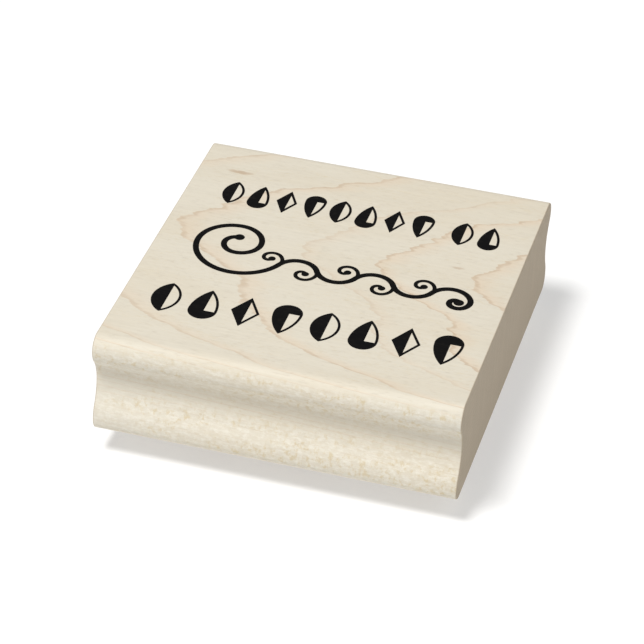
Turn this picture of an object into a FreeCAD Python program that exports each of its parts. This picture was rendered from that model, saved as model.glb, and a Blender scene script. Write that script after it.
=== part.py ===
"""Wood-mounted rubber stamp: a moulded maple block with a printed index, a foam cushion and a rubber die.

Frame: millimetres, +Z up, +X along the moulding, front moulding towards -Y.
Origin: under the middle of the block, on the plane of the die's printing surface.
"""
import FreeCAD, Part
import math
import os
import re

import Sketcher

SIZES = {
    # block, along the moulding, across it and from underside to top
    "block_width": 76.2,
    "block_depth": 82.5,
    "block_height": 22.8,
    # moulding on the front and back: shoulder, bead, cove and foot, from the top down
    "shoulder_radius": 3.2,
    "bead_flat": 0.2,
    "cove_depth": 2.5,
    "cove_upper_rise": 7.4,
    "bead_share": 0.33,
    "lobe_share": 0.36,
    "lobe_flat": 0.5,
    "foot_radius": 2.6,
    # layers under the block
    "film_thickness": 0.13,
    "cushion_thickness": 3.2,
    "die_base": 1.3,
    "die_relief": 1.2,
    "relief_root": 0.2,
    # trimmed outline that the cushion, both films and the die share
    "trim_end_margin": 3.6,
    "trim_side_margin": 12.1,
    "trim_corner": 3.0,
    # printed design: margins inside the trimmed outline, and its shift from the middle
    "design_end_margin": 2.0,
    "design_side_margin": 3.0,
    "design_shift_x": 0.65,
    "design_shift_y": -1.05,
    "ink_thickness": 0.05,
    # rows of upright motifs, half solid and half outlined
    "top_row_height": 8.9,
    "top_row_inset": 1.8,
    "top_row_gap": 1.4,
    "top_row_break": 2.9,
    "bottom_row_height": 10.5,
    "bottom_row_gap": 2.4,
    "hairline": 0.55,
    "rib": 0.25,
    # running scroll between the rows, drawn at these sizes and scaled to its band
    "scroll_clearance": 6.75,
    "scroll_radius": 10.4,
    "scroll_shrink": 0.76,
    "wave_radius": 4.7,
    "wave_lean": 66.0,
    "tendril_radius": 3.0,
    "tendril_shrink": 0.72,
    "stem_width": 1.35,
    "tendril_width": 0.9,
    "bud_radius": 1.15,
}

TOP_GROUPS = (8, 2)
BOTTOM_GROUPS = (8,)
WAVES = 5
SCROLL_QUARTERS = 6
TENDRIL_ARCS = 5
TENDRIL_TURN = 75.0

doc = FreeCAD.newDocument("rubber_stamp")
sheet = doc.addObject("Spreadsheet::Sheet", "Sizes")
for row, (alias, size) in enumerate(SIZES.items(), start=1):
    sheet.set(f"A{row}", alias.replace("_", " "))
    sheet.set(f"B{row}", str(size))
    sheet.setAlias(f"B{row}", alias)
doc.recompute()


def bound(expression):
    """The expression with each size's name pointing at its cell."""
    return re.sub(r"[a-z_]+", lambda m: "Sizes." + m[0] if m[0] in SIZES else m[0], expression)


def number(expression):
    """The present value of an expression on the sheet's sizes."""
    return float(sheet.evalExpression(bound(expression)))


# heights of the layers, from the printing surface up
PLATE_Z = "die_relief"
DIE_FILM_Z = "(die_relief + die_base)"
CUSHION_Z = "(die_relief + die_base + film_thickness)"
BLOCK_FILM_Z = "(die_relief + die_base + film_thickness + cushion_thickness)"
BLOCK_Z = "(die_relief + die_base + 2 * film_thickness + cushion_thickness)"
TOP_Z = f"({BLOCK_Z} + block_height)"

# trimmed outline and the design inside it
TRIM_WIDTH = "(block_width - 2 * trim_end_margin)"
TRIM_DEPTH = "(block_depth - 2 * trim_side_margin)"
DESIGN_WIDTH = f"({TRIM_WIDTH} - 2 * design_end_margin)"
DESIGN_TOP = f"({TRIM_DEPTH} / 2 - design_side_margin + design_shift_y)"
DESIGN_BOTTOM = f"(design_side_margin - {TRIM_DEPTH} / 2 + design_shift_y)"


def origin_plane(body, role):
    """One of the body's own origin planes, such as XY_Plane."""
    return next(f for f in body.Origin.OriginFeatures if f.Role == role)


def new_body(label, z="0"):
    """An empty body whose origin stands at height z."""
    body = doc.addObject("PartDesign::Body", label)
    body.Label = label
    body.AllowCompound = True
    body.setExpression("Placement.Base.z", bound(z))
    return body


def new_sketch(body, name, role="XY_Plane", x="0", y="0", lift="0"):
    """A sketch on an origin plane, moved to (x, y) in it and lifted along its normal."""
    sketch = body.newObject("Sketcher::SketchObject", name)
    sketch.AttachmentSupport = (origin_plane(body, role), [""])
    sketch.MapMode = "FlatFace"
    for axis, place in zip("xyz", (x, y, lift)):
        sketch.setExpression(f"AttachmentOffset.Base.{axis}", bound(place))
    return sketch


def tie_corner(sketch, side, end, x, y):
    """Holds one end of a side at (x, y), by distances from the sketch's origin that follow the sheet."""
    for kind, expression, axis in (("DistanceX", x, -2), ("DistanceY", y, -1)):
        value = number(expression)
        if abs(value) < 1e-9:
            sketch.addConstraint(Sketcher.Constraint("PointOnObject", side, end, axis))
            continue
        index = sketch.addConstraint(Sketcher.Constraint(kind, -1, 1, side, end, value))
        sketch.setExpression(f"Constraints[{index}]", bound(expression))


def add_outline(sketch, corners, sides):
    """Draws a closed outline through corners, each (x, y).

    sides has one entry for each side, from its corner to the next: None for a straight line, or
    (radius, bulge) for an arc under half a turn, with bulge 1 to the right of the way it runs and -1 to the left.
    """
    placed = []
    for (start, end), side in zip(zip(corners, corners[1:] + corners[:1]), sides):
        a, b = (FreeCAD.Vector(number(x), number(y), 0) for x, y in (start, end))
        if side is None:
            placed.append((sketch.addGeometry(Part.LineSegment(a, b), False), 1, 2))
            continue
        radius, bulge = number(side[0]), side[1]
        half = (b - a).Length / 2
        sagitta = radius - math.sqrt(radius * radius - half * half)
        right = FreeCAD.Vector(b.y - a.y, a.x - b.x, 0).normalize()
        middle = (a + b) * 0.5 + right * (sagitta * bulge)
        ends = (a, middle, b) if bulge > 0 else (b, middle, a)
        index = sketch.addGeometry(Part.Arc(*ends), False)
        placed.append((index, 1, 2) if bulge > 0 else (index, 2, 1))
        tie = sketch.addConstraint(Sketcher.Constraint("Radius", index, radius))
        sketch.setExpression(f"Constraints[{tie}]", bound(side[0]))
    for i, (index, start_point, _) in enumerate(placed):
        before, _, end_point = placed[i - 1]
        sketch.addConstraint(Sketcher.Constraint("Coincident", before, end_point, index, start_point))
        tie_corner(sketch, index, start_point, *corners[i])


def pad(body, sketch, name, length):
    """Pads a sketch along its plane's normal and makes that the body's tip."""
    feature = body.newObject("PartDesign::Pad", name)
    feature.Profile = sketch
    feature.Length = number(length)
    feature.setExpression("Length", bound(length))
    body.Tip = feature
    return feature


# ---------------------------------------------------------------- block


def ogee_radius(share, rise):
    """Radius of one of an ogee's two arcs, which has that share of its rise and of the cove's depth."""
    return f"({share} * ({rise} ^ 2 + cove_depth ^ 2) / (2 * cove_depth))"


def moulding_side():
    """Corners and sides of the moulding from the top edge down to the underside, for the side at +Y."""
    face = "block_depth / 2"
    bead_z = "(block_height - shoulder_radius - bead_flat)"
    cove_z = f"({bead_z} - cove_upper_rise)"
    lower_rise = f"({cove_z} - lobe_flat - foot_radius)"
    corners = [
        (f"{face} - shoulder_radius", "block_height"),
        (face, "block_height - shoulder_radius"),
        (face, bead_z),
        (f"{face} - bead_share * cove_depth", f"{bead_z} - bead_share * cove_upper_rise"),
        (f"{face} - cove_depth", cove_z),
        (f"{face} - lobe_share * cove_depth", f"{cove_z} - (1 - lobe_share) * {lower_rise}"),
        (face, "foot_radius + lobe_flat"),
        (face, "foot_radius"),
        (f"{face} - foot_radius", "0"),
    ]
    sides = [
        ("shoulder_radius", -1),
        None,
        (ogee_radius("bead_share", "cove_upper_rise"), -1),
        (ogee_radius("(1 - bead_share)", "cove_upper_rise"), 1),
        (ogee_radius("(1 - lobe_share)", lower_rise), 1),
        (ogee_radius("lobe_share", lower_rise), -1),
        None,
        ("foot_radius", -1),
    ]
    return corners, sides


def make_block():
    """The maple block: one moulded section, sawn square at both ends."""
    body = new_body("wood_block", BLOCK_Z)
    sketch = new_sketch(body, "moulding_section", role="YZ_Plane", lift="-block_width / 2")
    corners, sides = moulding_side()
    mirrored = [(f"-({y})", z) for y, z in reversed(corners)]
    add_outline(sketch, corners + mirrored, sides + [None] + sides[::-1] + [None])
    pad(body, sketch, "moulding_length", "block_width")
    return body


# ---------------------------------------------------------------- trimmed layers


def trimmed_sketch(body):
    """The outline that the cushion, films and die are cut to: a rectangle with round corners."""
    x, y = f"{TRIM_WIDTH} / 2", f"{TRIM_DEPTH} / 2"
    corners, sides = [], []
    for sx, sy in ((1, -1), (1, 1), (-1, 1), (-1, -1)):
        along_x = (f"{sx} * ({x} - trim_corner)", f"{sy} * {y}")
        along_y = (f"{sx} * {x}", f"{sy} * ({y} - trim_corner)")
        corners += [along_x, along_y] if sx * sy < 0 else [along_y, along_x]
        sides += [("trim_corner", 1), None]
    sketch = new_sketch(body, body.Label + "_outline")
    add_outline(sketch, corners, sides)
    return sketch


def make_layer(label, z, thickness):
    """One flat layer of the trimmed outline."""
    body = new_body(label, z)
    pad(body, trimmed_sketch(body), label + "_sheet", thickness)
    return body


# ---------------------------------------------------------------- rows of motifs


def leaf(width, height):
    """Pointed leaf: outline, and the window in its right half."""
    radius = f"(({height} ^ 2 + {width} ^ 2) / (4 * {width}))"
    reach = f"sqrt(({radius} - hairline) ^ 2 - (rib + {radius} - {width} / 2) ^ 2)"
    outer = [("0", f"-{height} / 2"), ("0", f"{height} / 2")], [(radius, 1)] * 2
    window = [("rib", f"-{reach}"), ("rib", reach)], [(f"({radius} - hairline)", 1), None]
    return outer, window


def lozenge(width, height):
    """Upright lozenge: outline, and the window in its right half."""
    left = f"(1 - hairline * sqrt((2 / {width}) ^ 2 + (2 / {height}) ^ 2))"
    reach = f"({left} - 2 * rib / {width}) * {height} / 2"
    tips = [("0", f"-{height} / 2"), (f"{width} / 2", "0"), ("0", f"{height} / 2"), (f"-{width} / 2", "0")]
    window = [("rib", f"-{reach}"), (f"{left} * {width} / 2", "0"), ("rib", reach)]
    return (tips, [None] * 4), (window, [None] * 3)


def drop(width, height, up=1):
    """Drop with its point up (up=1) or down (up=-1): outline, and the sail-shaped window in its right half."""
    half = f"({width} / 2)"
    tall = f"({height} - {half})"
    shoulder = f"{up} * ({half} - {height} / 2)"
    radius = f"(({half} ^ 2 + {tall} ^ 2) / {width})"
    reach = f"sqrt(({radius} - hairline) ^ 2 - (rib - {half} + {radius}) ^ 2)"
    outer = [
        (f"-{half}", shoulder),
        ("0", f"{-up} * {height} / 2"),
        (half, shoulder),
        ("0", f"{up} * {height} / 2"),
    ]
    window = [("rib", shoulder), (f"{half} - hairline", shoulder), ("rib", f"{shoulder} + {up} * {reach}")]
    rounds = [(half, up), (half, up), (radius, up), (radius, up)]
    return (outer, rounds), (window, [None, (f"({radius} - hairline)", up), None])


def bud(width, height):
    """The drop turned upside down."""
    return drop(width, height, up=-1)


MOTIFS = (leaf, drop, lozenge, bud)


def add_row(body, name, groups, row):
    """Pads one row of motifs: the four motifs in turn, each patterned along its group.

    row holds the row's expressions: width, height, gap, breaks, middle (its y) and thick.
    """
    count = sum(groups)
    spread = f"({row['width']} - {len(groups) - 1} * {row['breaks']} + {row['gap']})"
    pitch = f"({spread} / {count})"
    width = f"({pitch} - {row['gap']})"
    first = 0
    for group, size in enumerate(groups):
        for place in range(min(size, len(MOTIFS))):
            motif = MOTIFS[place]
            tag = f"{name}_{motif.__name__}_{group + 1}"
            start = f"{width} / 2 - {row['width']} / 2 + design_shift_x"
            x = f"{start} + {first + place} * {pitch} + {group} * {row['breaks']}"
            sketch = new_sketch(body, tag + "_sketch", x=x, y=row["middle"])
            for corners, sides in motif(width, row["height"]):
                add_outline(sketch, corners, sides)
            feature = pad(body, sketch, tag, row["thick"])
            copies = (size - 1 - place) // len(MOTIFS) + 1
            if copies > 1:
                repeat_along(body, sketch, feature, f"{len(MOTIFS)} * {copies - 1} * {pitch}", copies)
        first += size


def repeat_along(body, sketch, feature, length, copies):
    """Patterns a feature along its sketch's X axis, over that length in all."""
    pattern = body.newObject("PartDesign::LinearPattern", feature.Name + "_row")
    pattern.Originals = [feature]
    pattern.Direction = (sketch, ["H_Axis"])
    pattern.Length = number(length)
    pattern.setExpression("Length", bound(length))
    pattern.Occurrences = copies
    body.Tip = pattern


def top_row(body, thick):
    """The upper row: eight motifs, a break, and two more."""
    row = {
        "width": f"({DESIGN_WIDTH} - 2 * top_row_inset)",
        "height": "top_row_height",
        "gap": "top_row_gap",
        "breaks": "top_row_break",
        "middle": f"{DESIGN_TOP} - top_row_height / 2",
        "thick": thick,
    }
    add_row(body, "top_row", TOP_GROUPS, row)


def bottom_row(body, thick):
    """The lower row: eight larger motifs."""
    row = {
        "width": DESIGN_WIDTH,
        "height": "bottom_row_height",
        "gap": "bottom_row_gap",
        "breaks": "0",
        "middle": f"{DESIGN_BOTTOM} + bottom_row_height / 2",
        "thick": thick,
    }
    add_row(body, "bottom_row", BOTTOM_GROUPS, row)


# ---------------------------------------------------------------- running scroll


class PenLine:
    """A pen line of tangent arcs, drawn from a point in a heading, in degrees."""

    def __init__(self, x, y, heading):
        self.x, self.y, self.heading = x, y, heading
        self.arcs = []

    def turn(self, radius, degrees):
        """Draws an arc: to the left for a positive turn, to the right for a negative one."""
        side = math.copysign(1, degrees)
        from_centre = math.radians(self.heading - 90 * side)
        cx = self.x - radius * math.cos(from_centre)
        cy = self.y - radius * math.sin(from_centre)
        self.arcs.append((cx, cy, radius, from_centre, math.radians(degrees)))
        self.x = cx + radius * math.cos(from_centre + math.radians(degrees))
        self.y = cy + radius * math.sin(from_centre + math.radians(degrees))
        self.heading += degrees

    def curl(self, radius, degrees, shrink, count):
        """Draws arcs one after another, each smaller than the last by shrink."""
        for step in range(count):
            self.turn(radius * shrink**step, degrees)


def scroll_faces(scale=1.0, x=0.0, y=0.0):
    """The scroll's faces at that scale, with the foot of its large volute at (x, y)."""
    volute_radius, wave_radius, tendril_radius, stem_width, tendril_width, bud_radius = (
        number(alias) * scale
        for alias in (
            "scroll_radius", "wave_radius", "tendril_radius", "stem_width", "tendril_width", "bud_radius",
        )
    )
    lean, shrink = number("wave_lean"), number("tendril_shrink")
    volute = PenLine(x, y, 180)
    volute.curl(volute_radius, -90, number("scroll_shrink"), SCROLL_QUARTERS)
    stem = PenLine(x, y, 0)
    stem.turn(volute_radius, lean)
    faces = [line_face(volute, stem_width), bud_face(volute, bud_radius)]
    side = -1
    for _ in range(WAVES):
        tendril = PenLine(stem.x, stem.y, stem.heading)
        tendril.curl(tendril_radius, -side * TENDRIL_TURN, shrink, TENDRIL_ARCS)
        faces += [line_face(tendril, tendril_width), bud_face(tendril, bud_radius * shrink)]
        stem.turn(wave_radius, side * 2 * lean)
        side = -side
    stem.curl(tendril_radius, -side * TENDRIL_TURN, shrink, TENDRIL_ARCS)
    return faces + [line_face(stem, stem_width), bud_face(stem, bud_radius)]


def arc_edge(cx, cy, radius, start, sweep):
    """An arc about (cx, cy) from the angle start through sweep, in radians."""
    points = [
        FreeCAD.Vector(cx + radius * math.cos(start + sweep * t), cy + radius * math.sin(start + sweep * t), 0)
        for t in (0, 0.5, 1)
    ]
    return Part.Arc(*points).toShape()


def line_face(line, width):
    """A pen line's face: its arcs offset to both sides, closed with round ends."""
    left, right = [], []
    for cx, cy, radius, start, sweep in line.arcs:
        side = math.copysign(width / 2, sweep)
        left.append(arc_edge(cx, cy, radius - side, start, sweep))
        right.append(arc_edge(cx, cy, radius + side, start + sweep, -sweep))
    cx, cy, radius, start, sweep = line.arcs[0]
    x, y = cx + radius * math.cos(start), cy + radius * math.sin(start)
    toward_right = start if sweep > 0 else start + math.pi
    tail = arc_edge(x, y, width / 2, toward_right, -math.pi)
    nose = arc_edge(line.x, line.y, width / 2, math.radians(line.heading - 90), math.pi)
    return Part.Face(Part.Wire(left + [nose.reversed()] + right[::-1] + [tail]))


def bud_face(line, radius):
    """A round bud at a pen line's end."""
    return Part.Face(Part.Wire(Part.makeCircle(radius, FreeCAD.Vector(line.x, line.y, 0))))


def scroll_solid(thick):
    """The running scroll as one solid, as large as its band between the rows allows."""
    drawn = Part.makeCompound(scroll_faces()).BoundBox
    low = number(f"{DESIGN_BOTTOM} + bottom_row_height + scroll_clearance")
    high = number(f"{DESIGN_TOP} - top_row_height - scroll_clearance")
    room = number(f"{DESIGN_WIDTH} - 2 * top_row_inset")
    scale = min(room / drawn.XLength, (high - low) / drawn.YLength)
    x = number("design_shift_x") - drawn.Center.x * scale
    y = (low + high) / 2 - drawn.Center.y * scale
    print(f"scroll scale {scale:.3f}, {drawn.XLength * scale:.1f} x {drawn.YLength * scale:.1f} mm")
    solids = [face.extrude(FreeCAD.Vector(0, 0, thick)) for face in scroll_faces(scale, x, y)]
    return solids[0].multiFuse(solids[1:]).removeSplitter()


def scroll_feature(label, thick, z):
    """The running scroll as an object of its own, standing at height z."""
    feature = doc.addObject("Part::Feature", label)
    feature.Label = label
    feature.Shape = scroll_solid(number(thick))
    feature.Placement = FreeCAD.Placement(FreeCAD.Vector(0, 0, number(z)), FreeCAD.Rotation())
    return feature


# ---------------------------------------------------------------- index and die


def make_index_row(label, draw):
    """One row of the index, printed on top of the block."""
    body = new_body(label, TOP_Z)
    draw(body, "ink_thickness")
    return body


def make_die():
    """The rubber die: the trimmed sheet, with the design standing proud of its underside."""
    sheet_body = new_body("die_sheet", PLATE_Z)
    pad(sheet_body, trimmed_sketch(sheet_body), "die_sheet_pad", "die_base")
    rows = new_body("die_rows")
    top_row(rows, "die_relief + relief_root")
    bottom_row(rows, "die_relief + relief_root")
    scroll = scroll_feature("die_scroll", "die_relief + relief_root", "0")
    die = doc.addObject("Part::MultiFuse", "rubber_die")
    die.Label = "rubber_die"
    die.Shapes = [sheet_body, rows, scroll]
    return die


def failed_objects():
    """Names of objects that did not recompute."""
    return [o.Name for o in doc.Objects if {"Invalid", "Error"} & set(o.State)]


pieces = [
    make_block(),
    make_index_row("index_top_band", top_row),
    scroll_feature("index_flourish", "ink_thickness", TOP_Z),
    make_index_row("index_bottom_band", bottom_row),
    make_layer("block_film", BLOCK_FILM_Z, "film_thickness"),
    make_layer("cushion_foam", CUSHION_Z, "cushion_thickness"),
    make_layer("die_film", DIE_FILM_Z, "film_thickness"),
    make_die(),
]
doc.recompute()

failed = failed_objects()
if failed:
    raise RuntimeError(f"these objects failed to recompute: {failed}")
for piece in pieces:
    if piece.Shape.isNull() or not piece.Shape.isValid():
        raise RuntimeError(f"{piece.Label} has no valid shape")

os.makedirs("parts", exist_ok=True)
for piece in pieces:
    box = piece.Shape.BoundBox
    print(f"{piece.Label}: {len(piece.Shape.Solids)} solids, volume {piece.Shape.Volume:.2f} mm3,"
          f" x {box.XMin:.2f}..{box.XMax:.2f}, y {box.YMin:.2f}..{box.YMax:.2f}, z {box.ZMin:.2f}..{box.ZMax:.2f}")
    piece.Shape.exportStep(f"parts/{piece.Label}.step")
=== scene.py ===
"""Wood-mounted craft stamp: the visual model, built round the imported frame.

A block of pale maple, moulded on its front and back and sawn at its ends, carries a printed index on top. Under
it, a double-sided film, a sponge cushion, a second film and an engraved rubber die are stuck to one another.
"""

import logging
import math
from dataclasses import dataclass
from enum import Enum
from typing import Any

import bmesh
import bpy
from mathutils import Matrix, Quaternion, Vector


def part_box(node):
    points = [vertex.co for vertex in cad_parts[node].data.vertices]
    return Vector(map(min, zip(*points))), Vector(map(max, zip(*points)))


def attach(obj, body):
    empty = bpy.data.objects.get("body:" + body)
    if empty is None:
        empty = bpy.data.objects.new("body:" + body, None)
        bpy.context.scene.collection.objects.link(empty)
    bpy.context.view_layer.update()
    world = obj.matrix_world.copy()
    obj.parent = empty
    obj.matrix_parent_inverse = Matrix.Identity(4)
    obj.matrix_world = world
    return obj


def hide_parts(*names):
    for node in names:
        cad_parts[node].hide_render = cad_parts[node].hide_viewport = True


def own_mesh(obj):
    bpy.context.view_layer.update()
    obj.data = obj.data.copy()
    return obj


MM = 0.001
TOUCH = 2e-6
LOG = logging.getLogger("stamp")
Colour = tuple[float, float, float]

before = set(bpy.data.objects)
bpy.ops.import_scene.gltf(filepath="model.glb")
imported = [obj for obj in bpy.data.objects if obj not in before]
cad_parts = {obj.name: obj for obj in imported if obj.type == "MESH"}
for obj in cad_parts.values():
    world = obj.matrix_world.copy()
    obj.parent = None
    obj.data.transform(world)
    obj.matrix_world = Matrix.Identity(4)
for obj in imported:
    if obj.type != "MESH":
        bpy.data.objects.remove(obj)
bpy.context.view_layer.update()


class Body(Enum):
    """Bodies of the frame that pieces ride on."""

    HANDLE = "handle_block"
    DIE = "die"


# ---------------------------------------------------------------- node graphs


class Value:
    """A node socket that does arithmetic: each operator adds its Math node to the graph."""

    def __init__(self, graph: "Graph", socket: bpy.types.NodeSocket) -> None:
        """Wraps one output socket of a graph."""
        self.graph = graph
        self.socket = socket

    def __add__(self, other: "Number") -> "Value":
        """Sum."""
        return self.graph.math("ADD", self, other)

    __radd__ = __add__

    def __sub__(self, other: "Number") -> "Value":
        """Difference."""
        return self.graph.math("SUBTRACT", self, other)

    def __rsub__(self, other: "Number") -> "Value":
        """Difference from a plain number."""
        return self.graph.math("SUBTRACT", other, self)

    def __mul__(self, other: "Number") -> "Value":
        """Product."""
        return self.graph.math("MULTIPLY", self, other)

    __rmul__ = __mul__

    def __truediv__(self, other: "Number") -> "Value":
        """Quotient."""
        return self.graph.math("DIVIDE", self, other)

    def __rtruediv__(self, other: "Number") -> "Value":
        """Quotient of a plain number."""
        return self.graph.math("DIVIDE", other, self)

    def __neg__(self) -> "Value":
        """The value with its sign changed."""
        return self.graph.math("MULTIPLY", self, -1.0)

    def sin(self) -> "Value":
        """Sine of an angle in radians."""
        return self.graph.math("SINE", self)

    def cos(self) -> "Value":
        """Cosine of an angle in radians."""
        return self.graph.math("COSINE", self)

    def floor(self) -> "Value":
        """The whole number below."""
        return self.graph.math("FLOOR", self)

    def fraction(self) -> "Value":
        """The part above the whole number below."""
        return self.graph.math("FRACT", self)

    def abs(self) -> "Value":
        """Size without its sign."""
        return self.graph.math("ABSOLUTE", self)

    def sign(self) -> "Value":
        """-1, 0 or 1."""
        return self.graph.math("SIGN", self)

    def at_least(self, other: "Number") -> "Value":
        """The larger of two values."""
        return self.graph.math("MAXIMUM", self, other)

    def at_most(self, other: "Number") -> "Value":
        """The smaller of two values."""
        return self.graph.math("MINIMUM", self, other)

    def smooth(self, low: float, high: float) -> "Value":
        """A smooth step from 0 at low to 1 at high; low may be the larger."""
        up = low < high
        settings = {"interpolation_type": "SMOOTHSTEP", "clamp": True}
        ends = {"From Min": min(low, high), "From Max": max(low, high), "To Min": float(not up), "To Max": float(up)}
        return self.graph.node("ShaderNodeMapRange", settings, {"Value": self, **ends})["Result"]


Number = Value | float | int


class Made:
    """A node that was just made; its outputs are read by name or by place."""

    def __init__(self, graph: "Graph", node: bpy.types.Node) -> None:
        """Wraps a node of a graph."""
        self.graph = graph
        self.raw = node

    def __getitem__(self, key: str | int) -> Value:
        """One output."""
        return Value(self.graph, find_socket(self.raw.outputs, key))


def find_socket(sockets: Any, key: str | int) -> bpy.types.NodeSocket:
    """The socket at a place, or the usable one of that name.

    Args:
        sockets: a node's inputs or outputs.
        key: its place, its name or its identifier.

    Returns:
        The socket.
    """
    if isinstance(key, int):
        return sockets[key]
    named = [s for s in sockets if key in (s.name, s.identifier)]
    return next((s for s in named if s.enabled and not s.is_unavailable), named[0])


class Graph:
    """A node tree that is written as expressions."""

    def __init__(self, tree: bpy.types.NodeTree) -> None:
        """Starts on an empty tree."""
        self.tree = tree

    def node(self, kind: str, settings: dict[str, Any] | None = None, sockets: dict[Any, Any] | None = None) -> Made:
        """Adds one node.

        Args:
            kind: the node's type.
            settings: its attributes, set first; "points" are a curve's (x, y), "items" the number of an Index
                Switch's items.
            sockets: value or link of each input, by place, name or identifier.

        Returns:
            The node, whose outputs are then read by name.
        """
        made = self.tree.nodes.new(kind)
        for name, value in (settings or {}).items():
            if name == "points":
                curve = made.mapping.curves[0]
                while len(curve.points) < len(value):
                    curve.points.new(1.0, 1.0)
                for point, place in zip(curve.points, value):
                    point.location = place
                made.mapping.update()
            elif name == "items":
                while len(made.index_switch_items) < value:
                    made.index_switch_items.new()
            else:
                setattr(made, name, value)
        for key, value in (sockets or {}).items():
            self.feed(find_socket(made.inputs, key), value)
        return Made(self, made)

    def feed(self, socket: bpy.types.NodeSocket, value: Any) -> None:
        """Links a value to an input, or sets the input to a plain number, vector or colour."""
        if isinstance(value, Made):
            value = value[0]
        if isinstance(value, Value):
            self.tree.links.new(value.socket, socket)
        elif socket.type == "RGBA":
            socket.default_value = (*value, 1.0)
        else:
            socket.default_value = value

    def math(self, operation: str, *values: Number) -> Value:
        """Adds a Math node on up to three values."""
        return self.node("ShaderNodeMath", {"operation": operation}, dict(enumerate(values)))["Value"]

    def stretch(self, vector: Any, steps: tuple[float, float, float]) -> Value:
        """A vector with each of its parts multiplied."""
        return self.node("ShaderNodeVectorMath", {"operation": "MULTIPLY"}, {0: vector, 1: steps})["Vector"]

    def shade(self, vector: Any, factor: Number) -> Value:
        """A vector, or a colour, multiplied by one number."""
        return self.node("ShaderNodeVectorMath", {"operation": "SCALE"}, {0: vector, "Scale": factor})["Vector"]

    def combine(self, x: Number, y: Number, z: Number) -> Value:
        """A vector of three values."""
        return self.node("ShaderNodeCombineXYZ", None, {"X": x, "Y": y, "Z": z})["Vector"]

    def split(self, vector: Value) -> tuple[Value, Value, Value]:
        """The three parts of a vector."""
        parts = self.node("ShaderNodeSeparateXYZ", None, {"Vector": vector})
        return parts["X"], parts["Y"], parts["Z"]

    def noise(self, place: Value, scale: Any, detail: float = 2.0, rough: float = 0.5, shift: float = 0.0) -> Value:
        """Smooth noise about 0.5.

        Args:
            place: the point that it is read at.
            scale: features for each unit of place, one number or one for each axis.
            detail: octaves.
            rough: strength of each octave against the last.
            shift: moves the pattern, so that two of them differ.

        Returns:
            The noise, mostly between 0.25 and 0.75.
        """
        steps = scale if isinstance(scale, tuple) else (scale,) * 3
        moved = self.node(
            "ShaderNodeVectorMath",
            {"operation": "MULTIPLY_ADD"},
            {0: place, 1: steps, 2: (shift, shift * 1.7, shift * 2.3)},
        )["Vector"]
        texture = self.node(
            "ShaderNodeTexNoise", None, {"Vector": moved, "Scale": 1.0, "Detail": detail, "Roughness": rough}
        )
        return texture[0]

    def cells(self, place: Value, scale: Number) -> Value:
        """Distance to the nearest of many scattered points, scale of them to each unit of place."""
        sockets = {"Vector": place, "Scale": scale, "Randomness": 1.0}
        return self.node("ShaderNodeTexVoronoi", None, sockets)["Distance"]

    def mix(self, factor: Number, a: Any, b: Any) -> Value:
        """Colour a at factor 0, colour b at factor 1."""
        return self.node(
            "ShaderNodeMix",
            {"data_type": "RGBA", "clamp_factor": True},
            {"Factor_Float": factor, "A_Color": a, "B_Color": b},
        )["Result_Color"]


@dataclass(frozen=True)
class Pattern:
    """A noise over the wood, rubber or foam; with a step, only its stronger spots are left."""

    scale: float | tuple[float, float, float]
    detail: float
    rough: float
    shift: float
    step: tuple[float, float] | None = None


class Finish(Graph):
    """A procedural material: a Principled surface whose patterns read Object coordinates, in millimetres."""

    def __init__(self, name: str) -> None:
        """Starts an empty material of that name."""
        self.material = bpy.data.materials.new(name)
        self.material.use_nodes = True
        super().__init__(self.material.node_tree)
        self.tree.nodes.clear()
        self.place = self.shade(self.node("ShaderNodeTexCoord")["Object"], 1 / MM)
        self.x, self.y, self.z = self.split(self.place)

    def pattern(self, kind: Pattern) -> Value:
        """A pattern at each point of the surface."""
        value = self.noise(self.place, kind.scale, kind.detail, kind.rough, kind.shift)
        return value.smooth(*kind.step) if kind.step else value

    def surface(self, colour: Any, roughness: Number, height: Value | None, relief: float, **constants: Any) -> None:
        """Ends the material.

        Args:
            colour: the base colour.
            roughness: a number or a pattern.
            height: bump height, 0 to 1, or None.
            relief: what a height of 1 stands for, in millimetres.
            constants: other inputs of the Principled shader, by name with _ for a space.
        """
        sockets = {"Base Color": colour, "Roughness": roughness}
        sockets.update({name.replace("_", " "): value for name, value in constants.items()})
        if height is not None:
            bump = self.node("ShaderNodeBump", None, {"Height": height, "Distance": relief * MM, "Strength": 1.0})
            sockets["Normal"] = bump["Normal"]
        shader = self.node("ShaderNodeBsdfPrincipled", None, sockets)
        self.node("ShaderNodeOutputMaterial", None, {"Surface": shader})


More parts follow.
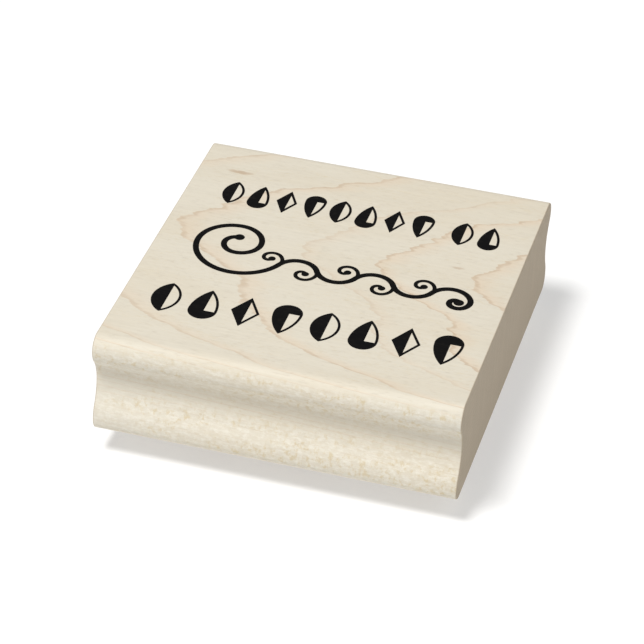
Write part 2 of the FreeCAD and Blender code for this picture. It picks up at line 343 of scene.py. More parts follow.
class Modelling(Graph):
    """A Geometry Nodes tree with named inputs, run once and kept as a plain mesh."""

    def __init__(self, name: str, sizes: tuple[str, ...], counts: tuple[str, ...] = ()) -> None:
        """Starts a tree.

        Args:
            name: the tree's name.
            sizes: names of its number inputs, in metres unless they are shares.
            counts: names of its whole-number inputs.
        """
        super().__init__(bpy.data.node_groups.new(name, "GeometryNodeTree"))
        face = self.tree.interface
        face.new_socket("Mesh", in_out="OUTPUT", socket_type="NodeSocketGeometry")
        for kind, names in (
            ("NodeSocketFloat", sizes),
            ("NodeSocketInt", counts),
            ("NodeSocketMaterial", ("Finish",)),
        ):
            for item in names:
                face.new_socket(item, in_out="INPUT", socket_type=kind)
        self.inputs = self.node("NodeGroupInput")

    def __getitem__(self, name: str) -> Value:
        """One of the tree's named inputs."""
        return self.inputs[name]

    def store(self, geometry: Value, name: str, value: Value, kind: str = "FLOAT_VECTOR") -> Value:
        """Keeps a value on each point under a name."""
        settings = {"data_type": kind, "domain": "POINT"}
        return self.node(
            "GeometryNodeStoreNamedAttribute", settings, {"Geometry": geometry, "Name": name, "Value": value}
        )["Geometry"]

    def stored(self, name: str, kind: str = "FLOAT_VECTOR") -> Value:
        """Reads back a kept value."""
        return self.node("GeometryNodeInputNamedAttribute", {"data_type": kind}, {"Name": name})["Attribute"]

    def index(self) -> Value:
        """Each point's number."""
        return self.node("GeometryNodeInputIndex")["Index"]

    def choose(self, kind: str, values: list[Any]) -> Value:
        """A value for each point from a list, by its number."""
        switch = self.node("GeometryNodeIndexSwitch", {"data_type": kind, "items": len(values)})
        self.feed(switch.raw.inputs[0], self.index())
        for place, value in enumerate(values, start=1):
            self.feed(switch.raw.inputs[place], value)
        return switch[0]

    def polygon(self, corners: list[tuple[Number, Number, Number]], steps: Number) -> Value:
        """A closed curve in the XY plane.

        Args:
            corners: (x, y, radius that the corner is rounded to).
            steps: straight steps in each rounded corner.

        Returns:
            The curve.
        """
        ring = self.node("GeometryNodeCurvePrimitiveCircle", {"mode": "RADIUS"}, {"Resolution": len(corners)})
        places = self.choose("VECTOR", [self.combine(x, y, 0.0) for x, y, _ in corners])
        moved = self.node("GeometryNodeSetPosition", None, {"Geometry": ring["Curve"], "Position": places})
        settings = {"mode": "POLY"}
        sockets = {"Curve": moved, "Radius": self.choose("FLOAT", [r for _, _, r in corners]), "Count": steps}
        return self.node("GeometryNodeFilletCurve", settings, sockets)["Curve"]

    def sweep(self, outline: Value, rows: Number, run: Any, inset: Any) -> Value:
        """A closed solid swept from an outline, with flat ends.

        The outline's points are kept as "section" and the way out of it as "outward"; run gives each row's place
        along the sweep, kept as "run", and inset how far that row is drawn in, kept as "inset".
        """
        tangent = self.node("GeometryNodeInputTangent")["Tangent"]
        tx, ty, _ = self.split(tangent)
        kept = self.store(outline, "section", self.node("GeometryNodeInputPosition")["Position"])
        kept = self.store(kept, "outward", self.combine(ty, -tx, 0.0))
        line = self.node("GeometryNodeMeshLine", {"mode": "OFFSET"}, {"Count": rows, "Offset": (0.0, 0.0, MM)})
        path = self.node("GeometryNodeMeshToCurve", None, {"Mesh": line["Mesh"]})["Curve"]
        path = self.store(path, "run", run(self.index()), "FLOAT")
        path = self.store(path, "inset", inset(self.index()), "FLOAT")
        swept = self.node("GeometryNodeCurveToMesh", None, {"Curve": path, "Profile Curve": kept, "Fill Caps": True})
        return swept["Mesh"]

    def place(self, geometry: Value, x: Number, y: Number, z: Number) -> Value:
        """Moves every point to (x, y, z) and merges the points that then meet."""
        sockets = {"Geometry": geometry, "Position": self.combine(x, y, z)}
        moved = self.node("GeometryNodeSetPosition", None, sockets)["Geometry"]
        return self.node("GeometryNodeMergeByDistance", None, {"Geometry": moved, "Distance": 0.01 * MM})["Geometry"]

    def result(self, geometry: Value) -> None:
        """Ends the tree: instances are made real and the finish is set."""
        real = self.node("GeometryNodeRealizeInstances", None, {"Geometry": geometry})
        dressed = self.node("GeometryNodeSetMaterial", None, {"Geometry": real, "Material": self["Finish"]})
        self.node("NodeGroupOutput", None, {"Mesh": dressed})

    def make(self, name: str, finish: bpy.types.Material, sizes: dict[str, float]) -> bpy.types.Object:
        """Runs the tree.

        Args:
            name: the new piece's name.
            finish: its material.
            sizes: value of each named input.

        Returns:
            The piece, as a plain mesh at the origin.
        """
        carrier = bpy.data.objects.new(name + "_carrier", bpy.data.meshes.new(name + "_carrier"))
        bpy.context.scene.collection.objects.link(carrier)
        modifier = carrier.modifiers.new(name, "NODES")
        modifier.node_group = self.tree
        named = {s.name: s.identifier for s in self.tree.interface.items_tree if s.in_out == "INPUT"}
        for key, value in {**sizes, "Finish": finish}.items():
            modifier[named[key]] = value
        carrier.update_tag()
        evaluated = carrier.evaluated_get(bpy.context.evaluated_depsgraph_get())
        mesh = bpy.data.meshes.new_from_object(evaluated)
        carrier.modifiers.remove(modifier)
        bpy.data.objects.remove(carrier)
        mesh.name = name
        for kept in ("section", "outward", "run", "inset"):
            if kept in mesh.attributes:
                mesh.attributes.remove(mesh.attributes[kept])
        return new_piece(name, mesh, finish)


def new_piece(name: str, mesh: bpy.types.Mesh, finish: bpy.types.Material) -> bpy.types.Object:
    """An object at the origin for a closed mesh, whose faces are turned outwards.

    Args:
        name: the piece's name.
        mesh: its mesh, already in place.
        finish: its material.

    Returns:
        The object.
    """
    shape = bmesh.new()
    shape.from_mesh(mesh)
    if shape.calc_volume(signed=True) < 0:
        bmesh.ops.reverse_faces(shape, faces=shape.faces[:])
    shape.to_mesh(mesh)
    shape.free()
    mesh.materials.clear()
    mesh.materials.append(finish)
    piece = bpy.data.objects.new(name, mesh)
    bpy.context.scene.collection.objects.link(piece)
    return piece


def dress_node(name: str, finish: bpy.types.Material) -> None:
    """Gives a carried-over CAD node its finish."""
    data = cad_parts[name].data
    if not data.materials:
        data.materials.append(finish)
    for place in range(len(data.materials)):
        data.materials[place] = finish


def settle(piece: bpy.types.Object, body: Body, slot: str, *nodes: str) -> None:
    """Lets a piece ride on its body and stand for its CAD nodes."""
    if nodes:
        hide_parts(*nodes)
    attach(piece, body.value)
    LOG.info("%s: %d faces, rides on %s", piece.name, len(piece.data.polygons), body.value)


# ---------------------------------------------------------------- finishes


@dataclass(frozen=True)
class Blemish:
    """A short brown mineral streak in the wood, in millimetres."""

    x: float
    y: float
    z: float
    length: float
    width: float
    strength: float


@dataclass(frozen=True)
class MapleFinish:
    """Sanded, unfinished maple: growth rings, rays and fibres that run through the whole block."""

    sapwood: Colour = (0.690, 0.640, 0.535)
    warm_wood: Colour = (0.670, 0.600, 0.475)
    ring_line: Colour = (0.44, 0.31, 0.20)
    ring_glow: Colour = (0.72, 0.50, 0.32)
    ray: Colour = (0.60, 0.48, 0.27)
    # Painted sheen: a pale colour laid in spots over the moulded faces as a highlight.
    pale: Colour = (0.84, 0.815, 0.74)
    streak: Colour = (0.50, 0.37, 0.25)
    end_grain: Colour = (0.485, 0.405, 0.300)
    top: float = 28.76
    half_width: float = 38.1
    half_depth: float = 41.25
    heart: float = 4.4
    grain_slope: float = 0.055
    arch_width: float = 92.0
    arch_height: float = 3.9
    arch: tuple[tuple[float, float], ...] = (
        (0.0, 1.0), (0.06, 0.74), (0.12, 0.48), (0.20, 0.33), (0.31, 0.25), (0.40, 0.12), (0.5, 0.0),
        (0.60, 0.06), (0.70, 0.17), (0.77, 0.33), (0.86, 0.50), (1.0, 0.74),
    )
    ring_levels: tuple[float, ...] = (-4.0, -2.8, -1.62, -0.55, 0.34, 1.84, 3.5, 4.9)
    ring_pitch: float = 1.3
    deepest_level: float = 30.0
    broad_wave: Pattern = Pattern((0.018, 0.09, 0.09), 2.0, 0.5, 3.1)
    jagged_wave: Pattern = Pattern((0.10, 0.42, 0.42), 3.0, 0.62, 8.7)
    broken_line: Pattern = Pattern((0.06, 0.5, 0.5), 2.0, 0.6, 21.0, (0.34, 0.56))
    fibre: Pattern = Pattern((0.035, 2.1, 2.1), 3.0, 0.6, 1.3)
    silk: Pattern = Pattern((0.25, 7.0, 7.0), 2.0, 0.55, 4.4)
    cloud: Pattern = Pattern((0.03, 0.075, 0.075), 2.0, 0.5, 6.2, (0.35, 0.68))
    pores: Pattern = Pattern((0.42, 6.5, 6.5), 1.0, 0.5, 11.0, (0.66, 0.74))
    ray_cells: Pattern = Pattern((0.75, 7.5, 1.15), 2.0, 0.55, 15.0, (0.56, 0.68))
    ray_bands: Pattern = Pattern((0.045, 0.3, 0.32), 1.0, 0.5, 17.5, (0.42, 0.62))
    dab_bands: Pattern = Pattern((0.035, 0.1, 0.30), 1.0, 0.5, 51.0, (0.36, 0.56))
    dabs: Pattern = Pattern((1.05, 0.6, 0.85), 3.0, 0.66, 53.0, (0.49, 0.68))
    # Where the painted highlight lies on the moulded faces.
    painted_sheen: Pattern = Pattern((0.70, 0.7, 1.5), 4.0, 0.7, 57.0, (0.40, 0.68))
    saw_marks: Pattern = Pattern((0.5, 1.5, 0.06), 2.0, 0.6, 31.0)
    speckle: Pattern = Pattern((2.0, 5.5, 5.5), 2.0, 0.6, 33.0)
    stain_edge: Pattern = Pattern((0.3, 1.1, 1.1), 2.0, 0.6, 41.0)
    cloud_strength: float = 0.5
    glow_strength: float = 0.30
    line_strength: float = 0.42
    sheen_strength: float = 0.48
    dab_strength: float = 0.62
    ray_strength: float = 0.34
    pore_strength: float = 0.16
    saw_shade: float = 0.94
    end_ring_shade: float = 0.72
    speckle_shade: float = 0.6
    relief: float = 0.05
    blemishes: tuple[Blemish, ...] = (
        Blemish(-28.8, 29.1, 28.7, 3.6, 0.75, 0.75),
        Blemish(25.3, 7.8, 28.7, 1.7, 0.5, 0.5),
        Blemish(8.0, -41.0, 18.0, 4.5, 0.5, 0.35),
        Blemish(-14.0, 41.0, 16.0, 5.0, 0.5, 0.4),
    )

    def ring_age(self, shader: Finish) -> Value:
        """Which growth ring a point is in, with its fraction rising towards the ring's late wood."""
        across = (shader.y - self.heart + self.arch_width / 2) / self.arch_width
        arch = shader.node("ShaderNodeFloatCurve", {"points": self.arch}, {"Value": across})["Value"]
        waves = (shader.pattern(self.broad_wave) - 0.5) * 0.55 + (shader.pattern(self.jagged_wave) - 0.5) * 0.36
        level = arch * self.arch_height + (self.top - shader.z) - shader.x * self.grain_slope + waves
        low, high = self.ring_levels[0], self.deepest_level
        last = len(self.ring_levels) - 1
        ages = [(v, float(n)) for n, v in enumerate(self.ring_levels)]
        ages.append((high, last + (high - self.ring_levels[-1]) / self.ring_pitch))
        oldest = ages[-1][1]
        points = [((v - low) / (high - low), n / oldest) for v, n in ages]
        curve = shader.node("ShaderNodeFloatCurve", {"points": points}, {"Value": (level - low) / (high - low)})
        for point in curve.raw.mapping.curves[0].points:
            point.handle_type = "VECTOR"
        curve.raw.mapping.update()
        return curve["Value"] * oldest

    def late_wood(self, shader: Finish) -> tuple[Value, Value]:
        """The soft glow of each ring's late wood, and the thin line that ends it."""
        age = self.ring_age(shader)
        phase, number = age.fraction(), age.floor()
        vigour = shader.node("ShaderNodeTexWhiteNoise", {"noise_dimensions": "1D"}, {"W": number + 0.37})["Value"]
        vigour = vigour * 0.6 + 0.4
        broken = shader.pattern(self.broken_line) * 0.65 + 0.35
        ring_end = phase.smooth(1.0, 0.985)
        return phase.smooth(0.70, 0.99) * ring_end * vigour, phase.smooth(0.925, 0.97) * ring_end * vigour * broken

    def moulded(self, shader: Finish) -> Value:
        """1 on the moulded front and back, 0 on the flat top."""
        side = shader.y.abs().smooth(self.half_depth - 3.1, self.half_depth - 1.4)
        return side * (self.top - shader.z).smooth(0.5, 2.4)

    def long_grain(self, shader: Finish, glow: Value, line: Value, rays: Value, pores: Value, side: Value) -> Value:
        """Colour of the planed and moulded faces, with a painted highlight on the moulded ones.

        Args:
            shader: the material.
            glow: late wood's glow.
            line: late wood's line.
            rays: ray flecks.
            pores: open pores.
            side: 1 on the moulded faces.

        Returns:
            The colour, before the sawn ends are laid over it.
        """
        dabs = shader.pattern(self.dabs) * shader.pattern(self.dab_bands) * side
        painted_sheen = shader.pattern(self.painted_sheen) * side
        colour = shader.mix(shader.pattern(self.cloud) * self.cloud_strength, self.sapwood, self.warm_wood)
        colour = shader.mix(glow * (self.glow_strength - side * 0.23), colour, self.ring_glow)
        colour = shader.mix(line * (self.line_strength - side * 0.20), colour, self.ring_line)
        # Painted highlight: the pale colour laid over the moulded faces in spots.
        colour = shader.mix(painted_sheen * self.sheen_strength, colour, self.pale)
        colour = shader.mix(dabs * self.dab_strength, colour, self.ray)
        colour = shader.mix(rays * self.ray_strength, colour, self.ray)
        colour = shader.mix(pores * self.pore_strength, colour, self.streak)
        for spot in self.blemishes:
            colour = shader.mix(self.spot(shader, spot), colour, self.streak)
        return colour

    def sawn_end(self, shader: Finish, rings: Value, saw: Value, speckle: Value) -> Value:
        """Colour of the sawn ends, from the rings, the saw's marks and the open ends of the fibres."""
        colour: Any = self.end_grain
        for factor, shade in (
            (saw.smooth(0.30, 0.72), self.saw_shade),
            (rings, self.end_ring_shade),
            (speckle.smooth(0.58, 0.72) * 0.3, self.speckle_shade),
        ):
            colour = shader.mix(factor, colour, tuple(c * shade for c in self.end_grain))
        return colour

    def build(self) -> bpy.types.Material:
        """The material."""
        shader = Finish("sanded_maple")
        glow, line = self.late_wood(shader)
        fibre, silk = shader.pattern(self.fibre), shader.pattern(self.silk)
        pores, side = shader.pattern(self.pores), self.moulded(shader)
        rays = shader.pattern(self.ray_cells) * (shader.pattern(self.ray_bands) * 0.75 + 0.25) * (1 - side * 0.5)
        saw, speckle = shader.pattern(self.saw_marks), shader.pattern(self.speckle)
        end = shader.x.abs().smooth(self.half_width - 0.30, self.half_width - 0.06)

        faces = self.long_grain(shader, glow, line, rays, pores, side)
        colour = shader.mix(end, faces, self.sawn_end(shader, line * 0.4 + glow * 0.22, saw, speckle))
        colour = shader.shade(colour, 1.0 + (fibre - 0.5) * (0.11 - side * 0.08) + (silk - 0.5) * 0.08)
        roughness = 0.56 + (silk - 0.5) * 0.2 - rays * 0.10 + end * 0.18
        height = silk * 0.45 + fibre * 0.35 - pores * 0.5 - line * 0.25 + end * (speckle * 1.1 + saw * 0.8)
        shader.surface(colour, roughness, height, self.relief, Specular_IOR_Level=0.32)
        return shader.material

    def spot(self, shader: Finish, spot: Blemish) -> Value:
        """How much a point is stained by one blemish."""
        wobble = shader.pattern(self.stain_edge) - 0.5
        dx = (shader.x - spot.x) / spot.length
        dy = (shader.y - spot.y + wobble * 1.6) / spot.width
        dz = (shader.z - spot.z) / (spot.width * 1.5)
        return (dx * dx + dy * dy + dz * dz).smooth(1.0, 0.0) * spot.strength


@dataclass(frozen=True)
class InkFinish:
    """Matt black index ink printed on the sanded wood, with the grain just showing through."""

    ink: Colour = (0.0042, 0.0040, 0.0042)
    thin_ink: Colour = (0.017, 0.015, 0.012)
    grain: Pattern = Pattern((0.3, 6.0, 6.0), 3.0, 0.6, 2.0)
    mottle: Pattern = Pattern(0.9, 2.0, 0.5, 5.0)

    def build(self) -> bpy.types.Material:
        """The material."""
        shader = Finish("index_ink")
        grain, mottle = shader.pattern(self.grain), shader.pattern(self.mottle)
        colour = shader.mix(grain.smooth(0.52, 0.78) * 0.7 + mottle.smooth(0.5, 0.8) * 0.3, self.ink, self.thin_ink)
        roughness = 0.74 + (grain - 0.5) * 0.25
        shader.surface(colour, roughness, grain * 0.7 + mottle * 0.3, 0.02, Specular_IOR_Level=0.07)
        return shader.material


@dataclass(frozen=True)
class FilmFinish:
    """Clear acrylic adhesive film: yellowish at the cut edge, with trapped bubbles."""

    film: Colour = (0.80, 0.76, 0.62)
    bubble: Colour = (0.90, 0.89, 0.84)
    drift: Pattern = Pattern((0.12, 0.12, 0.5), 3.0, 0.55, 2.5)

    def build(self) -> bpy.types.Material:
        """The material."""
        shader = Finish("mounting_film")
        drift = shader.pattern(self.drift)
        bubbles = shader.cells(shader.stretch(shader.place, (0.55, 0.55, 0.2)), 1.0).smooth(0.16, 0.10)
        colour = shader.mix(bubbles * 0.6 + (drift - 0.4) * 0.6, self.film, self.bubble)
        roughness = 0.26 + (drift - 0.5) * 0.3
        shader.surface(colour, roughness, bubbles + drift * 0.3, 0.02, Specular_IOR_Level=0.5)
        return shader.material


@dataclass(frozen=True)
class FoamFinish:
    """Cut closed-cell sponge: off-white, with rows of opened cells on its sides, and painted shade in the cells'
    hollows.
    """

    skin: Colour = (0.70, 0.69, 0.64)
    # Painted shade: the darker colour laid in the hollows of opened cells.
    pit_shade: Colour = (0.40, 0.39, 0.355)
    drift: Pattern = Pattern(0.12, 2.0, 0.5, 7.0)

    def build(self) -> bpy.types.Material:
        """The material."""
        shader = Finish("sponge_cushion")
        large = shader.cells(shader.place, 2.3)
        small = shader.cells(shader.place, 5.2)
        cells = large.smooth(0.62, 0.20) * 0.6 + small.smooth(0.6, 0.2) * 0.4
        drift = shader.pattern(self.drift)
        # Painted shade: the cells' hollows, where the bump sinks, are darkened.
        colour = shader.shade(shader.mix(cells * 0.8, self.skin, self.pit_shade), 1.0 + (drift - 0.5) * 0.16)
        shader.surface(colour, 0.86 - cells * 0.12, 1.0 - cells, 0.10, Specular_IOR_Level=0.3, Sheen_Weight=0.15)
        return shader.material


@dataclass(frozen=True)
class RubberFinish:
    """Engraved rubber: smooth on the printing faces, scan lines and rubber dust on the cut floor."""

    rubber: Colour = (0.36, 0.115, 0.085)
    dusty: Colour = (0.49, 0.225, 0.175)
    floor: float = 1.12
    scan_pitch: float = 0.17
    wander: Pattern = Pattern((0.05, 0.4, 0.4), 1.0, 0.5, 3.0)
    grit: Pattern = Pattern(7.0, 2.0, 0.6, 9.0)
    bloom: Pattern = Pattern(0.16, 3.0, 0.55, 12.0, (0.4, 0.75))

    def build(self) -> bpy.types.Material:
        """The material."""
        shader = Finish("engraved_rubber")
        cut = shader.z.smooth(0.02, 0.12)
        deep = shader.z.smooth(self.floor - 0.25, self.floor)
        scan = ((shader.y / self.scan_pitch + shader.pattern(self.wander) * 0.8) * math.tau).sin() * 0.5 + 0.5
        grit, bloom = shader.pattern(self.grit), shader.pattern(self.bloom)
        dust = cut * (0.25 + scan * 0.25 * deep + grit.smooth(0.45, 0.7) * 0.35) + bloom * 0.18
        colour = shader.mix(dust, self.rubber, self.dusty)
        roughness = 0.46 + cut * 0.28 + (grit - 0.5) * 0.2
        height = cut * (grit * 0.5 + scan * deep * 0.9) + grit * 0.12
        shader.surface(colour, roughness, height, 0.05, Specular_IOR_Level=0.4)
        return shader.material


@dataclass(frozen=True)
class FloorFinish:
    """A white light table: paper that glows a little, so that shadows on it stay pale."""

    paper: Colour = (0.60, 0.60, 0.598)
    glow: float = 0.40
    tooth: Pattern = Pattern(0.05, 2.0, 0.5, 1.0)

    def build(self) -> bpy.types.Material:
        """The material."""
        shader = Finish("studio_paper")
        paper = shader.shade(self.paper, 0.99 + shader.pattern(self.tooth) * 0.02)
        shader.surface(paper, 0.9, None, 0.0, Specular_IOR_Level=0.1, Emission_Strength=self.glow)
        return shader.material


# ---------------------------------------------------------------- pieces


@dataclass
class HandleBlock:
    """The moulded maple block and the index printed on its top. Sizes in millimetres."""

    shoulder_radius: float = 3.2
    bead_flat: float = 0.2
    cove_depth: float = 2.5
    cove_rise: float = 7.4
    bead_share: float = 0.33
    lobe_share: float = 0.36
    lobe_flat: float = 0.5
    foot_radius: float = 2.6
    arris: float = 0.30
    flat_support: float = 0.35

    def moulding_tree(self) -> Modelling:
        """The moulded section, swept along X with its sawn edges just eased."""
        tree = Modelling(
            "moulded_block",
            ("Length", "Depth", "Height", "Underside", "Shoulder Radius", "Bead Flat", "Cove Depth", "Cove Rise",
             "Bead Share", "Lobe Share", "Lobe Flat", "Foot Radius", "Arris", "Flat Support"),
            ("Corner Steps", "Arris Steps", "Rows"),
        )
        face, top, shoulder, foot = tree["Depth"] / 2, tree["Height"], tree["Shoulder Radius"], tree["Foot Radius"]
        cove, rise = tree["Cove Depth"], tree["Cove Rise"]
        bead_z = top - shoulder - tree["Bead Flat"]
        cove_z = bead_z - rise
        lobe_z = foot + tree["Lobe Flat"]
        fall = cove_z - lobe_z
        upper = (cove * cove + rise * rise) / 2
        lower = (cove * cove + fall * fall) / 2
        bead, lobe, back = tree["Bead Share"], tree["Lobe Share"], face - cove
        side = [
            (face - shoulder - tree["Flat Support"], top, 0.0),
            (face, top, shoulder),
            (face, bead_z - bead * upper / rise, bead * upper / cove),
            (back, cove_z + (1 - bead) * upper / rise, (1 - bead) * upper / cove),
            (back, cove_z - (1 - lobe) * lower / fall, (1 - lobe) * lower / cove),
            (face, lobe_z + lobe * lower / fall, lobe * lower / cove),
            (face, 0.0, foot),
            (face - foot - tree["Flat Support"], 0.0, 0.0),
        ]
        outline = tree.polygon([(-y, z, r) for y, z, r in side] + side[::-1], tree["Corner Steps"])

        rows, steps, arris, half = tree["Rows"], tree["Arris Steps"], tree["Arris"], tree["Length"] / 2

        def angle(index: Value) -> Value:
            """Angle round the eased edge, 0 at the sawn end."""
            return (index.at_most(rows - 1 - index) / steps).at_most(1.0) * (math.pi / 2)

        def run(index: Value) -> Value:
            """Place of each row along the block."""
            share = ((index - steps) / (rows - 1 - 2 * steps)).at_least(0.0).at_most(1.0)
            return (share * 2 - 1) * (half - arris) + (index - (rows - 1) / 2).sign() * angle(index).cos() * arris

        swept = tree.sweep(outline, rows, run, lambda index: arris * (1 - angle(index).sin()))
        sy, sz, _ = tree.split(tree.stored("section"))
        ny, nz, _ = tree.split(tree.stored("outward"))
        inset = tree.stored("inset", "FLOAT")
        moved = tree.place(swept, tree.stored("run", "FLOAT"), sy - ny * inset, sz - nz * inset + tree["Underside"])
        nx, _, _ = tree.split(tree.node("GeometryNodeInputNormal")["Normal"])
        sawn = tree.node("FunctionNodeCompare", {"operation": "GREATER_THAN"}, {"A": nx.abs(), "B": 0.999})
        flat = tree.node(
            "GeometryNodeSetShadeSmooth", None, {"Geometry": moved, "Selection": sawn, "Shade Smooth": False}
        )
        tree.result(flat["Geometry"])
        return tree

    def build(self) -> None:
        """Makes the block and dresses the three prints."""
        low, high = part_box("wood_block")
        sizes = {
            "Length": high.x - low.x,
            "Depth": high.y - low.y,
            "Height": high.z - low.z,
            "Underside": low.z,
            "Shoulder Radius": self.shoulder_radius * MM,
            "Bead Flat": self.bead_flat * MM,
            "Cove Depth": self.cove_depth * MM,
            "Cove Rise": self.cove_rise * MM,
            "Bead Share": self.bead_share,
            "Lobe Share": self.lobe_share,
            "Lobe Flat": self.lobe_flat * MM,
            "Foot Radius": self.foot_radius * MM,
            "Arris": self.arris * MM,
            "Flat Support": self.flat_support * MM,
            "Corner Steps": 12,
            "Arris Steps": 5,
            "Rows": 31,
        }
        finish = MapleFinish(top=high.z / MM, half_width=high.x / MM, half_depth=high.y / MM).build()
        block = self.moulding_tree().make("moulded_block", finish, sizes)
        settle(block, Body.HANDLE, "maple", "wood_block")
        ink = InkFinish().build()
        for print_name in ("index_top_band", "index_flourish", "index_bottom_band"):
            dress_node(print_name, ink)
            LOG.info("%s: printed in index ink", print_name)


class Layer(Enum):
    """Layers under the block: new piece, CAD node, body and material slot."""

    BLOCK_FILM = ("block_adhesive", "block_film", Body.HANDLE, "mounting_film")
    CUSHION = ("sponge_cushion", "cushion_foam", Body.HANDLE, "cushion")
    DIE_FILM = ("die_adhesive", "die_film", Body.DIE, "mounting_film")
    DIE = ("engraved_die", "rubber_die", Body.DIE, "die_rubber")


@dataclass
class TrimmedStack:
    """The layers cut to one outline: two films, the sponge cushion and the rubber die. Sizes in millimetres."""

    corner: float = 3.0
    knife_wander: float = 0.10
    foam_waist: float = 0.16
    foam_pits: float = 0.16
    foam_cell: float = 0.55
    foam_travel: float = 0.8
    relief: float = 1.2
    shoulders: tuple[tuple[float, float], ...] = (
        (0.0, 0.0), (0.025, 0.02), (0.07, 0.35), (0.15, 0.80), (0.30, 1.10), (0.42, 1.26),
    )
    longest_mitre: float = 1.6
    crease_angle: float = 32.0

    def layer_tree(self) -> Modelling:
        """A trimmed sheet whose cut sides wander, draw in and show opened cells."""
        tree = Modelling(
            "trimmed_layer",
            ("Width", "Depth", "Corner", "Bottom", "Top", "Spacing", "Wander", "Waist", "Pits", "Cell", "Shift"),
            ("Rows",),
        )
        x, y, corner = tree["Width"] / 2, tree["Depth"] / 2, tree["Corner"]
        outline = tree.polygon([(x, -y, corner), (x, y, corner), (-x, y, corner), (-x, -y, corner)], 12)
        outline = tree.node(
            "GeometryNodeResampleCurve", {"mode": "LENGTH"}, {"Curve": outline, "Length": tree["Spacing"]}
        )["Curve"]
        rows, bottom, top = tree["Rows"], tree["Bottom"], tree["Top"]
        swept = tree.sweep(
            outline,
            rows,
            lambda index: bottom + (top - bottom) * index / (rows - 1),
            lambda index: (index / (rows - 1) * math.pi).sin() * tree["Waist"],
        )
        sx, sy, _ = tree.split(tree.stored("section"))
        nx, ny, _ = tree.split(tree.stored("outward"))
        run = tree.stored("run", "FLOAT")
        spot = tree.combine(sx, sy, run)
        wander = tree.noise(spot, 180.0, 2.0, 0.5, 2.0) * tree["Wander"]
        cells = tree.cells(spot, 1 / tree["Cell"])
        edge = ((run - bottom) / (top - bottom) * math.pi).sin().smooth(0.0, 0.25)
        depth = tree.stored("inset", "FLOAT") + wander + cells.smooth(0.62, 0.15) * tree["Pits"] * edge
        moved = tree.place(swept, sx - nx * depth, sy - ny * depth, run)
        _, _, nz = tree.split(tree.node("GeometryNodeInputNormal")["Normal"])
        flat = tree.node("FunctionNodeCompare", {"operation": "GREATER_THAN"}, {"A": nz.abs(), "B": 0.99})
        shaded = tree.node(
            "GeometryNodeSetShadeSmooth", None, {"Geometry": moved, "Selection": flat, "Shade Smooth": False}
        )
        tree.result(shaded["Geometry"])
        return tree

    def sheet(self, tree: Modelling, layer: Layer, finish: bpy.types.Material, **changes: float) -> bpy.types.Object:
        """One layer of the stack.

        Args:
            tree: the trimmed layer's tree.
            layer: which layer.
            finish: its material.
            changes: inputs that differ from a plain film's, by name with _ for a space.

        Returns:
            The piece.
        """
        name, node, _, _ = layer.value
        low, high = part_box(node)
        sizes = {
            "Width": high.x - low.x,
            "Depth": high.y - low.y,
            "Corner": self.corner * MM,
            "Bottom": low.z,
            "Top": high.z,
            "Spacing": 1.0 * MM,
            "Wander": self.knife_wander * MM,
            "Waist": 0.0,
            "Pits": 0.0,
            "Cell": 1.0 * MM,
            "Rows": 3,
            **{key.replace("_", " "): value for key, value in changes.items()},
        }
        return tree.make(name, finish, sizes)

    def relief_mesh(self) -> bmesh.types.BMesh:
        """The raised design, flaring from each printing face down to the sheet and closed just inside it."""
        source = bmesh.new()
        source.from_mesh(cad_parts["rubber_die"].data)
        bmesh.ops.remove_doubles(source, verts=source.verts[:], dist=TOUCH / 2)
        faces = [f for f in source.faces if all(abs(v.co.z) < TOUCH for v in f.verts)]
        inside = set(faces)
        shape = bmesh.new()
        twins: dict[int, bmesh.types.BMVert] = {}
        sides: list[tuple[int, int]] = []
        for face in faces:
            twins.update({vert.index: vert for vert in face.verts})
            for loop in face.loops:
                if not any(other in inside for other in loop.edge.link_faces if other is not face):
                    sides.append((loop.vert.index, loop.link_loop_next.vert.index))
        after, before = dict(sides), {b: a for a, b in sides}

        def way_out(index: int) -> Vector:
            """Mitred direction away from the printing face at one of its outline's points."""
            here = twins[index].co
            turns = []
            for a, b in ((twins[before[index]].co, here), (here, twins[after[index]].co)):
                along = (b - a).normalized()
                turns.append(Vector((-along.y, along.x, 0.0)))
            total = turns[0] + turns[1]
            return total * min(1.0 / max(1.0 + turns[0].dot(turns[1]), 0.2), self.longest_mitre)

        rings: list[dict[int, bmesh.types.BMVert]] = []
        for out, down in self.shoulders:
            ring = {}
            for index in after:
                place = twins[index].co + way_out(index) * out * MM
                ring[index] = shape.verts.new((place.x, place.y, down * MM))
            rings.append(ring)
        for face in faces:
            corners = [v.index for v in face.verts]
            if all(index in after for index in corners):
                shape.faces.new([rings[0][index] for index in corners])
                shape.faces.new([rings[-1][index] for index in reversed(corners)])
        for a, b in sides:
            for near, far in zip(rings, rings[1:]):
                shape.faces.new((near[b], near[a], far[a], far[b]))
        source.free()
        return shape

    def build_die(self, tree: Modelling) -> bpy.types.Object:
        """The engraved die: its sheet and the raised design, as one moulded piece."""
        finish = RubberFinish().build()
        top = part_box("rubber_die")[1].z
        piece = self.sheet(tree, Layer.DIE, finish, Bottom=self.relief * MM, Top=top, Spacing=0.6 * MM, Rows=6)
        shape = self.relief_mesh()
        shape.from_mesh(piece.data)
        shape.to_mesh(piece.data)
        shape.free()
        piece.data.materials.clear()
        piece.data.materials.append(finish)
        piece.data.shade_smooth()
        piece.data.set_sharp_from_angle(angle=math.radians(self.crease_angle))
        return piece

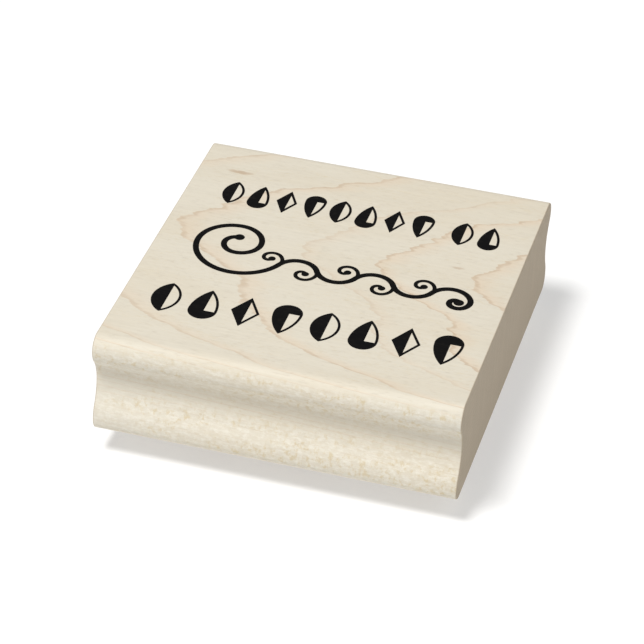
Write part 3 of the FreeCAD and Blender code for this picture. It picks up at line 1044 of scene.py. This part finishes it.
    def build(self) -> None:
        """Makes every layer, from the block's film down to the die."""
        tree = self.layer_tree()
        film = FilmFinish().build()
        foam_sizes = {
            "Spacing": 0.17 * MM,
            "Waist": self.foam_waist * MM,
            "Pits": self.foam_pits * MM,
            "Cell": self.foam_cell * MM,
            "Rows": 20,
        }
        pieces = {
            Layer.BLOCK_FILM: self.sheet(tree, Layer.BLOCK_FILM, film),
            Layer.CUSHION: self.sheet(tree, Layer.CUSHION, FoamFinish().build(), **foam_sizes),
            Layer.DIE_FILM: self.sheet(tree, Layer.DIE_FILM, film),
            Layer.DIE: self.build_die(tree),
        }
        for layer, piece in pieces.items():
            _, node, body, slot = layer.value
            settle(piece, body, slot, node)
        cushion = pieces[Layer.CUSHION]
        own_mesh(cushion)


# ---------------------------------------------------------------- studio


@dataclass(frozen=True)
class Softbox:
    """A square area light: which way it lies from the object, in degrees, and its size and power."""

    azimuth: float
    elevation: float
    distance: float
    size: float
    watts: float
    tint: Colour = (1.0, 1.0, 1.0)


@dataclass
class Studio:
    """A pale floor, soft light and the camera. Sizes in metres, angles in degrees."""

    aim: tuple[float, float, float] = (-0.00243, 0.003486, 0.011726)
    azimuth: float = 14.539
    elevation: float = 34.648
    roll: float = 2.383
    distance: float = 0.62188
    lens: float = 163.74
    floor_reach: float = 3.0
    sky: float = 0.24
    softboxes: tuple[Softbox, ...] = (
        Softbox(-30.0, 66.0, 2.6, 0.65, 61.0, (1.0, 0.996, 0.988)),
        Softbox(70.0, 50.0, 2.6, 1.6, 8.5),
    )

    @staticmethod
    def away(azimuth: float, elevation: float, distance: float) -> Vector:
        """A point that far off in a direction; azimuth 0 is in front, 90 at the right."""
        a, e = math.radians(azimuth), math.radians(elevation)
        return Vector((math.sin(a) * math.cos(e), -math.cos(a) * math.cos(e), math.sin(e))) * distance

    def build_floor(self) -> None:
        """The floor under the printing face."""
        reach = self.floor_reach
        mesh = bpy.data.meshes.new("studio_floor")
        corners = [(-reach, -reach, 0), (reach, -reach, 0), (reach, reach, 0), (-reach, reach, 0)]
        mesh.from_pydata(corners, [], [(0, 1, 2, 3)])
        mesh.materials.append(FloorFinish().build())
        floor = bpy.data.objects.new("studio_floor", mesh)
        bpy.context.scene.collection.objects.link(floor)

    def build_light(self) -> None:
        """Soft light from the front left, an open sky, and a weak fill."""
        world = bpy.data.worlds.new("soft_sky")
        world.use_nodes = True
        sky = world.node_tree.nodes["Background"]
        sky.inputs["Color"].default_value = (1.0, 1.0, 1.0, 1.0)
        sky.inputs["Strength"].default_value = self.sky
        bpy.context.scene.world = world
        for number, box in enumerate(self.softboxes, start=1):
            light = bpy.data.lights.new(f"softbox_{number}", "AREA")
            light.shape, light.size, light.energy, light.color = "SQUARE", box.size, box.watts, box.tint
            lamp = bpy.data.objects.new(light.name, light)
            bpy.context.scene.collection.objects.link(lamp)
            back = self.away(box.azimuth, box.elevation, box.distance)
            lamp.location = back
            lamp.rotation_euler = (-back).to_track_quat("-Z", "Y").to_euler()

    def build_camera(self) -> None:
        """A long lens, in front and above."""
        lens = bpy.data.cameras.new("camera")
        lens.lens, lens.sensor_width, lens.clip_start, lens.clip_end = self.lens, 36.0, 0.05, 20.0
        camera = bpy.data.objects.new("camera", lens)
        bpy.context.scene.collection.objects.link(camera)
        back = self.away(self.azimuth, self.elevation, self.distance)
        camera.location = Vector(self.aim) + back
        level = (-back).to_track_quat("-Z", "Y")
        camera.rotation_euler = (level @ Quaternion((0, 0, 1), math.radians(self.roll))).to_euler()
        bpy.context.scene.camera = camera

    def build(self) -> None:
        """The whole setting."""
        bpy.context.scene.view_settings.view_transform = "Standard"
        self.build_floor()
        self.build_light()
        self.build_camera()
        LOG.info("studio: floor, %d lights and camera", len(self.softboxes))


def main() -> None:
    """Builds every sub-assembly in order."""
    logging.basicConfig(level=logging.INFO, format="%(name)s: %(message)s")
    for part in (HandleBlock(), TrimmedStack(), Studio()):
        part.build()


if __name__ == "__main__":
    main()
